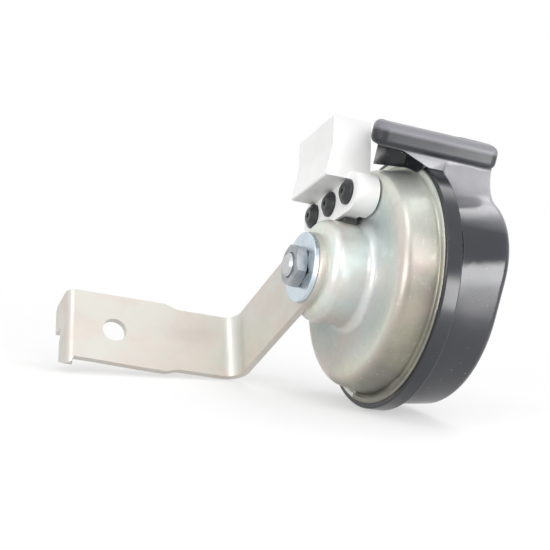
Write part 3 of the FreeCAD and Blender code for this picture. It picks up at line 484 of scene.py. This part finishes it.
def stud_thread(material):
    """Helical ridge of a screw thread on the stud's end, sunk a little into its shank."""
    pitch = THREAD_PITCH * MILLIMETRE
    radius = STUD_RADIUS * MILLIMETRE
    start_x = SEAT_X + THREAD_START_X * MILLIMETRE
    depth = THREAD_DEPTH * pitch
    past = depth * THREAD_PAST
    profile = ((-THREAD_FOOT, -depth), (-THREAD_CREST, past), (THREAD_CREST, past), (THREAD_FOOT, -depth))
    count = int(((THREAD_END_X - THREAD_START_X) / THREAD_PITCH - 1) * THREAD_STEPS)
    bm = bmesh.new()
    rows = []
    for i in range(count + 1):
        turn = 2 * math.pi * i / THREAD_STEPS
        fade = min(1.0, i / THREAD_FADE_STEPS, (count - i) / THREAD_FADE_STEPS)
        row = []
        for along, out in profile:
            r = radius + out if out < 0 else radius + out * fade - (1 - fade) * depth
            x = start_x + pitch / 2 + pitch * (i / THREAD_STEPS + along)
            row.append(bm.verts.new((x, AXIS_Y + r * math.sin(turn), AXIS_Z + r * math.cos(turn))))
        rows.append(row)
    close_tube(bm, rows)
    bmesh.ops.recalc_face_normals(bm, faces=bm.faces)
    if bm.calc_volume(signed=True) < 0:
        bmesh.ops.reverse_faces(bm, faces=bm.faces)
    piece = linked("stud_thread", bm)
    for polygon in piece.data.polygons:
        polygon.use_smooth = True
    piece.data.materials.append(material)
    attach(piece, "horn")


# The bracket as it is bent: rounder at its arm than the frame's, with a stepped and notched lip.
# Sizes in millimetres, laid out along the strap before it is turned about the horn's axis.
STRAP = 2.5
STRAP_HALF = 12.3
STRAP_WIDE_HALF = 14.1
ARM_REACH = 60.7
ARM_BEND = 5.5
FOLD_BEND = 0.6
STRAP_END_X = -67.0
WIDE_START_X = -24.8
WIDE_FULL_X = -30.8
LOW_TRIM = 0.5
LOW_TAPER = 1.3
LOW_DROP = 1.0
LIP_DEPTH = 15.6
LIP_LOW_DEPTH = 10.4
LIP_NOTCH_HIGH = 3.0
LIP_NOTCH_LOW = -2.2
LIP_NOTCH_DEPTH = 9.2
LIP_NOTCH_ROUND = 1.2
MOUNT_HOLE_X = -49.5
MOUNT_HOLE_RADIUS = 4.4
STUD_HOLE_RADIUS = 4.25
STRAP_EDGE = 0.35
STRAP_EDGE_ANGLE = 40.0
BRACKET_TURN = 42.0
# Corners of the lip: bevel at its top, and how far its lower corner's slope runs across and up
LIP_TOP_CORNER = 1.5
LIP_TONGUE_Z = 0.4
LIP_SLOPE_RUN = 8.0
LIP_SLOPE_RISE = 4.6
NOTCH_STEPS = 6
# How far a cutter reaches past what it cuts, and by how little it clears a face that it only meets
CUT_PAST = 3.0
CUT_CLEAR = 0.01
# Rows of corners: round the strap's end, in each bend, and where the strap widens
END_ROWS = 13
END_START_TURN = 3.0
BEND_ROWS = 12
PLAIN_ROWS = (-18.0, -40.0, -58.0)
DROP_ROWS = 4
CUTTER_SIDES = 64
CUTTER_LENGTH = 12.0
# Past this share along an axis of the strap a face lies flat on it
FLAT_NORMAL = 0.99995


def smooth_step(value, start, stop):
    """0 to 1 between start and stop, with soft ends."""
    share = min(1.0, max(0.0, (value - start) / (stop - start)))
    return share * share * (3 - 2 * share)


def strap_rows():
    """Rows across the strap from its round end to its lip: seen side, hidden side, low and high edge."""
    rows = []
    for i in range(END_ROWS + 1):
        turn = math.radians(END_START_TURN + (90 - END_START_TURN) * i / END_ROWS)
        y, half = -STRAP_HALF * math.cos(turn), STRAP_HALF * math.sin(turn)
        rows.append(((-STRAP, y), (0, y), -half, half))
    quarter = [math.radians(90 * i / BEND_ROWS) for i in range(BEND_ROWS + 1)]
    centre_x, centre_y = -STRAP - ARM_BEND, ARM_REACH - ARM_BEND
    for turn in quarter:
        seen, hidden = [(centre_x + r * math.cos(turn), centre_y + r * math.sin(turn))
                        for r in (ARM_BEND, ARM_BEND + STRAP)]
        rows.append((seen, hidden, -STRAP_HALF, STRAP_HALF))
    step = STRAP_WIDE_HALF - STRAP_HALF
    fold_x = STRAP_END_X + STRAP + FOLD_BEND
    widening = [WIDE_START_X + (WIDE_FULL_X - WIDE_START_X) * i / BEND_ROWS for i in range(BEND_ROWS + 1)]
    for x in sorted((*PLAIN_ROWS, *widening), reverse=True):
        wide = smooth_step(x, WIDE_START_X, WIDE_FULL_X)
        taper = smooth_step(x, WIDE_FULL_X, fold_x)
        low = -STRAP_HALF - (step - LOW_TRIM) * wide + (LOW_TAPER - LOW_TRIM) * taper
        rows.append(((x, ARM_REACH), (x, ARM_REACH + STRAP), low, STRAP_HALF + step * wide))
    fold_y = ARM_REACH + STRAP + FOLD_BEND
    for i, turn in enumerate(quarter):
        seen, hidden = [(fold_x - r * math.sin(turn), fold_y - r * math.cos(turn))
                        for r in (FOLD_BEND + STRAP, FOLD_BEND)]
        drop = smooth_step(i, 0, DROP_ROWS)
        low = -STRAP_WIDE_HALF + LOW_TAPER - (LOW_TAPER + LOW_DROP) * drop
        rows.append((seen, hidden, low, STRAP_WIDE_HALF))
    free = ARM_REACH + LIP_DEPTH
    low = -STRAP_WIDE_HALF - LOW_DROP
    rows.append(((STRAP_END_X, free), (STRAP_END_X + STRAP, free), low, STRAP_WIDE_HALF))
    return rows


def closed(name, bm):
    """New object from a closed bmesh, its faces turned outward."""
    bmesh.ops.recalc_face_normals(bm, faces=bm.faces)
    return linked(name, bm)


def change_shape(piece, operation, tools):
    """Booleans of one kind on the piece, one for each tool."""
    for tool in tools:
        change = piece.modifiers.new("change", "BOOLEAN")
        change.operation = operation
        change.solver = "EXACT"
        change.object = tool


def round_cutter(centre, axis, radius):
    bm = bmesh.new()
    bmesh.ops.create_cone(bm, cap_ends=True, segments=CUTTER_SIDES, radius1=radius, radius2=radius,
                          depth=CUTTER_LENGTH)
    turn = Vector(axis).to_track_quat("Z", "Y").to_matrix().to_4x4()
    bmesh.ops.transform(bm, matrix=Matrix.Translation(centre) @ turn, verts=bm.verts)
    return closed("cutter", bm)


def lip_cutter(outline):
    """Prism through the lip from (y, z) corners."""
    bm = bmesh.new()
    close_tube(bm, [[bm.verts.new((x, y, z)) for y, z in outline]
                    for x in (STRAP_END_X - CUT_PAST, STRAP_END_X + STRAP + CUT_PAST)])
    return closed("cutter", bm)


def lip_outlines():
    """What is cut from the lip's free edge: top corner, notch, lower part and its sloped corner."""
    free = ARM_REACH + LIP_DEPTH
    tongue = ARM_REACH + LIP_LOW_DEPTH
    top = STRAP_WIDE_HALF
    low = -STRAP_WIDE_HALF - LOW_DROP
    past = free + CUT_PAST
    notch_foot = ARM_REACH + LIP_NOTCH_DEPTH
    notch = [(past, LIP_NOTCH_LOW), (past, LIP_NOTCH_HIGH)]
    for centre_z, start in ((LIP_NOTCH_HIGH - LIP_NOTCH_ROUND, 90), (LIP_NOTCH_LOW + LIP_NOTCH_ROUND, 180)):
        for i in range(NOTCH_STEPS + 1):
            turn = math.radians(start + 90 * i / NOTCH_STEPS)
            notch.append((notch_foot + LIP_NOTCH_ROUND + LIP_NOTCH_ROUND * math.cos(turn),
                          centre_z + LIP_NOTCH_ROUND * math.sin(turn)))
    return [
        notch,
        [(tongue, low - 1), (past, low - 1), (past, LIP_TONGUE_Z), (tongue, LIP_TONGUE_Z)],
        [(free - LIP_TOP_CORNER, top + CUT_CLEAR), (free + CUT_CLEAR, top - LIP_TOP_CORNER),
         (past, top + CUT_PAST)],
        [(tongue - LIP_SLOPE_RUN, low - CUT_CLEAR), (past, low - CUT_PAST),
         (tongue + CUT_CLEAR, low + LIP_SLOPE_RISE)],
    ]


def bent_bracket(material):
    """The strap with its holes, its stepped and notched lip and its softened edges."""
    bm = bmesh.new()
    close_tube(bm, [[bm.verts.new((*side, z)) for side, z in
                     ((seen, low), (seen, high), (hidden, high), (hidden, low))]
                    for seen, hidden, low, high in strap_rows()])
    piece = closed("bent_bracket", bm)
    cutters = [round_cutter((0, 0, 0), (1, 0, 0), STUD_HOLE_RADIUS),
               round_cutter((MOUNT_HOLE_X, ARM_REACH, 0), (0, 1, 0), MOUNT_HOLE_RADIUS)]
    cutters += [lip_cutter(outline) for outline in lip_outlines()]
    change_shape(piece, "DIFFERENCE", cutters)
    edges = piece.modifiers.new("edges", "BEVEL")
    edges.width = STRAP_EDGE
    edges.segments = 2
    edges.limit_method = "ANGLE"
    edges.angle_limit = math.radians(STRAP_EDGE_ANGLE)
    shape = shape_with_modifiers(piece)
    for cutter in cutters:
        bpy.data.objects.remove(cutter)
    for polygon in shape.polygons:
        polygon.use_smooth = max(abs(part) for part in polygon.normal) < FLAT_NORMAL
    turn = Matrix.Rotation(math.radians(-BRACKET_TURN), 4, "X")
    place = Matrix.Translation((SEAT_X, AXIS_Y, AXIS_Z)) @ turn @ Matrix.Scale(MILLIMETRE, 4)
    finish_shell(piece, material, "mounting_bracket", place)
    return piece


# The mouth's underside, which clears the housing's rim in a slope where the frame's hood is lower.
# Sizes in millimetres about the horn's axis.
ROOM = [(-2.0, 47.7), (16.5, 47.3), (25.9, 44.1)]
ROOM_FAR_Y = 3.6
FLOOR_WALL = 1.6
HOOD_NEAR_Y = -13.0
HOOD_FAR_Y = 5.4
HOOD_NEAR_X = 6.2
HOOD_SLANT = 0.51
HOOD_INSET = 0.3
FLOOR_PAST_ROOM = 1.5
FLOOR_ACROSS = 14
FLOOR_ALONG = 8
ROOM_SIDES = 180
MERGE_DISTANCE = 0.002
CREASE_ANGLE = 32.0
HORN_PLACE = Matrix.Translation((SEAT_X, AXIS_Y, AXIS_Z)) @ Matrix.Scale(MILLIMETRE, 4)


def room_radius(x):
    """Radius of the cut cone at a place along the axis."""
    first, last = (ROOM[0], ROOM[1]) if x < ROOM[1][0] else (ROOM[1], ROOM[2])
    return first[1] + (last[1] - first[1]) * (x - first[0]) / (last[0] - first[0])


def sloped_room():
    """Cone about the axis that is cut from the hood, up to its far cheek."""
    bm = bmesh.new()
    turns = [2 * math.pi * i / ROOM_SIDES for i in range(ROOM_SIDES)]
    close_tube(bm, [[bm.verts.new((x, radius * math.sin(turn), radius * math.cos(turn))) for turn in turns]
                    for x, radius in ROOM])
    every = bm.verts[:] + bm.edges[:] + bm.faces[:]
    cut = bmesh.ops.bisect_plane(bm, geom=every, plane_co=(0, ROOM_FAR_Y, 0), plane_no=(0, 1, 0),
                                 clear_outer=True)["geom_cut"]
    bmesh.ops.contextual_create(bm, geom=[e for e in cut if isinstance(e, bmesh.types.BMEdge)])
    return closed("room", bm)


def sloped_floor():
    """Wall that closes the duct again above the cone."""
    bm = bmesh.new()
    columns = []
    for i in range(FLOOR_ACROSS + 1):
        y = HOOD_NEAR_Y + HOOD_INSET + (HOOD_FAR_Y - HOOD_NEAR_Y - 2 * HOOD_INSET) * i / FLOOR_ACROSS
        start = HOOD_NEAR_X + HOOD_INSET + (y - HOOD_NEAR_Y) * HOOD_SLANT
        column = []
        for k in range(FLOOR_ALONG + 1):
            x = start + (ROOM[-1][0] + FLOOR_PAST_ROOM - start) * k / FLOOR_ALONG
            low, high = [math.sqrt((room_radius(x) + lift) ** 2 - y ** 2)
                         for lift in (CUT_CLEAR, FLOOR_WALL)]
            column.append((bm.verts.new((x, y, low)), bm.verts.new((x, y, high))))
        columns.append(column)
    for one, two in zip(columns, columns[1:]):
        for a, b, c, d in zip(one, one[1:], two[1:], two):
            bm.faces.new((a[0], b[0], c[0], d[0]))
            bm.faces.new((a[1], d[1], c[1], b[1]))
    for column in (columns[0], columns[-1]):
        for a, b in zip(column, column[1:]):
            bm.faces.new((a[0], b[0], b[1], a[1]))
    for k in (0, -1):
        for one, two in zip(columns, columns[1:]):
            bm.faces.new((one[k][0], two[k][0], two[k][1], one[k][1]))
    return closed("floor", bm)


def open_mouth(material):
    """The front shell with the sloped underside of its mouth, from the frame's own mesh."""
    bm = bmesh.new()
    bm.from_mesh(frame["nodes"]["trumpet_front_shell"].data)
    bmesh.ops.transform(bm, matrix=HORN_PLACE.inverted(), verts=bm.verts)
    bmesh.ops.remove_doubles(bm, verts=bm.verts, dist=MERGE_DISTANCE)
    piece = closed("front_shell", bm)
    room, floor = sloped_room(), sloped_floor()
    change_shape(piece, "DIFFERENCE", [room])
    change_shape(piece, "UNION", [floor])
    shape = shape_with_modifiers(piece)
    for tool in (room, floor):
        bpy.data.objects.remove(tool)
    for polygon in shape.polygons:
        polygon.use_smooth = True
    shape.set_sharp_from_angle(angle=math.radians(CREASE_ANGLE))
    finish_shell(piece, material, "trumpet_front_shell", HORN_PLACE)
    return piece


# Table, light and camera

def camera_turn():
    """The camera's right, up and back directions from its azimuth, elevation and roll."""
    azimuth = math.radians(CAMERA_AZIMUTH)
    elevation = math.radians(CAMERA_ELEVATION)
    roll = math.radians(CAMERA_ROLL)
    back = Vector((math.cos(elevation) * math.sin(azimuth), -math.cos(elevation) * math.cos(azimuth),
                   math.sin(elevation)))
    level = Vector((0, 0, 1)).cross(back).normalized()
    upright = back.cross(level)
    right = level * math.cos(roll) + upright * math.sin(roll)
    return right, back.cross(right), back


def add_camera(right, up, back):
    data = bpy.data.cameras.new("camera")
    data.sensor_width = SENSOR_WIDTH
    data.sensor_fit = "HORIZONTAL"
    data.lens = FOCAL_PIXELS / PICTURE_WIDTH * SENSOR_WIDTH
    data.clip_start = CLIP_START
    camera = bpy.data.objects.new("camera", data)
    bpy.context.collection.objects.link(camera)
    turn = Matrix((right, up, back)).transposed().to_4x4()
    camera.matrix_world = Matrix.Translation(CAMERA_PLACE) @ turn
    bpy.context.scene.camera = camera


# Soft boxes: name, direction by the camera's right, up and back, distance and size in metres, watts
SOFTBOXES = [
    ("overhead_softbox", (0.35, 0.88, -0.42), 0.9, (0.8, 0.6), 5.4),
    ("right_panel", (0.873, -0.147, 0.465), 0.196, (0.13, 0.10), 0.46),
    ("front_right_softbox", (0.45, 0.42, 0.79), 0.9, (0.6, 0.5), 3.4),
    ("key_softbox", (-0.25, 0.83, 0.5), 0.9, (0.35, 0.35), 2.0),
    ("front_softbox", (-0.55, 0.25, 0.8), 0.9, (0.5, 0.5), 5.4),
]
WORLD_FILL = 0.75
BOX_FADE_START = 0.2


def fade_towards_rim(data):
    """Cloth front of a soft box: full in the middle and dying away towards its rim."""
    data.use_nodes = True
    tree = data.node_tree
    split = tree.nodes.new("ShaderNodeSeparateXYZ")
    tree.links.new(tree.nodes.new("ShaderNodeNewGeometry").outputs["Parametric"], split.inputs[0])
    fades = []
    for side in ("X", "Y"):
        off_middle = math_node(tree, "ABSOLUTE", math_node(tree, "SUBTRACT", split.outputs[side], 0.5))
        fades.append(smooth_range(tree, off_middle, BOX_FADE_START, 0.5, 1.0, 0.0))
    tree.links.new(math_node(tree, "MULTIPLY", *fades), tree.nodes["Emission"].inputs["Strength"])


def add_area(name, target, direction, distance, size, power):
    """Soft box that looks at the target from a direction in the frame."""
    data = bpy.data.lights.new(name, "AREA")
    data.shape = "RECTANGLE"
    data.size, data.size_y = size
    data.energy = power
    fade_towards_rim(data)
    light = bpy.data.objects.new(name, data)
    bpy.context.collection.objects.link(light)
    direction = direction.normalized()
    light.location = target + direction * distance
    light.rotation_euler = direction.to_track_quat("Z", "Y").to_euler()
    light.visible_camera = False


def seen_rays(tree):
    """1 for the rays that should meet a white studio: from the camera, in metal and in glass."""
    path = tree.nodes.new("ShaderNodeLightPath")
    total = path.outputs["Is Camera Ray"]
    for name in ("Is Glossy Ray", "Is Transmission Ray"):
        total = math_node(tree, "MAXIMUM", total, path.outputs[name])
    return total


def mixed(tree, share, first, second):
    """Output of a Mix Shader node."""
    node = tree.nodes.new("ShaderNodeMixShader")
    for index, source in enumerate((share, first, second)):
        tree.links.new(source, node.inputs[index])
    return node.outputs[0]


def table_white(foot):
    """Pale ground that glows a little, runs out into the white studio and is clear from below."""
    material = bpy.data.materials.new("table_white")
    material.use_nodes = True
    tree = material.node_tree
    tree.nodes.clear()
    diffuse = tree.nodes.new("ShaderNodeBsdfDiffuse")
    diffuse.inputs["Color"].default_value = (TABLE_COLOUR, TABLE_COLOUR, TABLE_COLOUR, 1)
    seen = seen_rays(tree)
    glow = tree.nodes.new("ShaderNodeEmission")
    tree.links.new(math_node(tree, "MULTIPLY", seen, TABLE_GLOW), glow.inputs["Strength"])
    ground = tree.nodes.new("ShaderNodeAddShader")
    tree.links.new(diffuse.outputs[0], ground.inputs[0])
    tree.links.new(glow.outputs[0], ground.inputs[1])
    geometry = tree.nodes.new("ShaderNodeNewGeometry")
    away = tree.nodes.new("ShaderNodeVectorMath")
    away.operation = "DISTANCE"
    away.inputs[1].default_value = foot
    tree.links.new(geometry.outputs["Position"], away.inputs[0])
    faded = smooth_range(tree, away.outputs["Value"], TABLE_FADE_START, TABLE_FADE_STOP, 0.0, 1.0)
    white = tree.nodes.new("ShaderNodeEmission")
    above = mixed(tree, math_node(tree, "MULTIPLY", faded, seen), ground.outputs[0], white.outputs[0])
    below = tree.nodes.new("ShaderNodeBsdfTransparent")
    output = tree.nodes.new("ShaderNodeOutputMaterial")
    either = mixed(tree, geometry.outputs["Backfacing"], above, below.outputs[0])
    tree.links.new(either, output.inputs["Surface"])
    return material


def add_table(pieces):
    """Table plane under the lowest point of the pieces."""
    lowest = min(TABLE_NORMAL.dot(vertex.co) for piece in pieces for vertex in piece.data.vertices)
    turn = TABLE_NORMAL.to_track_quat("Z", "Y").to_matrix().to_4x4()
    middle = Vector((SEAT_X, AXIS_Y, 0))
    foot = middle - TABLE_NORMAL * (TABLE_NORMAL.dot(middle) - lowest)
    bm = bmesh.new()
    bmesh.ops.create_grid(bm, x_segments=1, y_segments=1, size=TABLE_HALF_SIZE)
    bmesh.ops.transform(bm, matrix=Matrix.Translation(foot) @ turn, verts=bm.verts)
    table = linked("table", bm)
    table.data.materials.append(table_white(foot))


def add_world():
    """White world where it is seen, and a dimmer one where it only lights."""
    world = bpy.data.worlds.new("studio")
    bpy.context.scene.world = world
    world.use_nodes = True
    tree = world.node_tree
    strength = tree.nodes.new("ShaderNodeMix")
    for index, number in zip(MIX_NUMBERS, (WORLD_FILL, 1.0)):
        strength.inputs[index].default_value = number
    tree.links.new(seen_rays(tree), strength.inputs["Factor"])
    background = tree.nodes["Background"]
    background.inputs["Color"].default_value = (1, 1, 1, 1)
    tree.links.new(strength.outputs[0], background.inputs["Strength"])


def add_lights(right, up, back):
    target = Vector((SEAT_X, AXIS_Y, AXIS_Z))
    for name, (sideways, upward, backward), distance, size, power in SOFTBOXES:
        direction = sideways * right + upward * up + backward * back
        add_area(name, target, direction, distance, size, power)


looks = build_materials()
dress_nodes(looks)
stud_thread(looks["pole_core"])
rebuilt = {"mounting_bracket": bent_bracket(looks["mounting_bracket"]),
           "trumpet_front_shell": open_mouth(looks["trumpet_front_shell"])}

right, up, back = camera_turn()
add_camera(right, up, back)
add_table({**frame["nodes"], **rebuilt}.values())
add_world()
add_lights(right, up, back)
bpy.context.scene.view_settings.view_transform = "Standard"
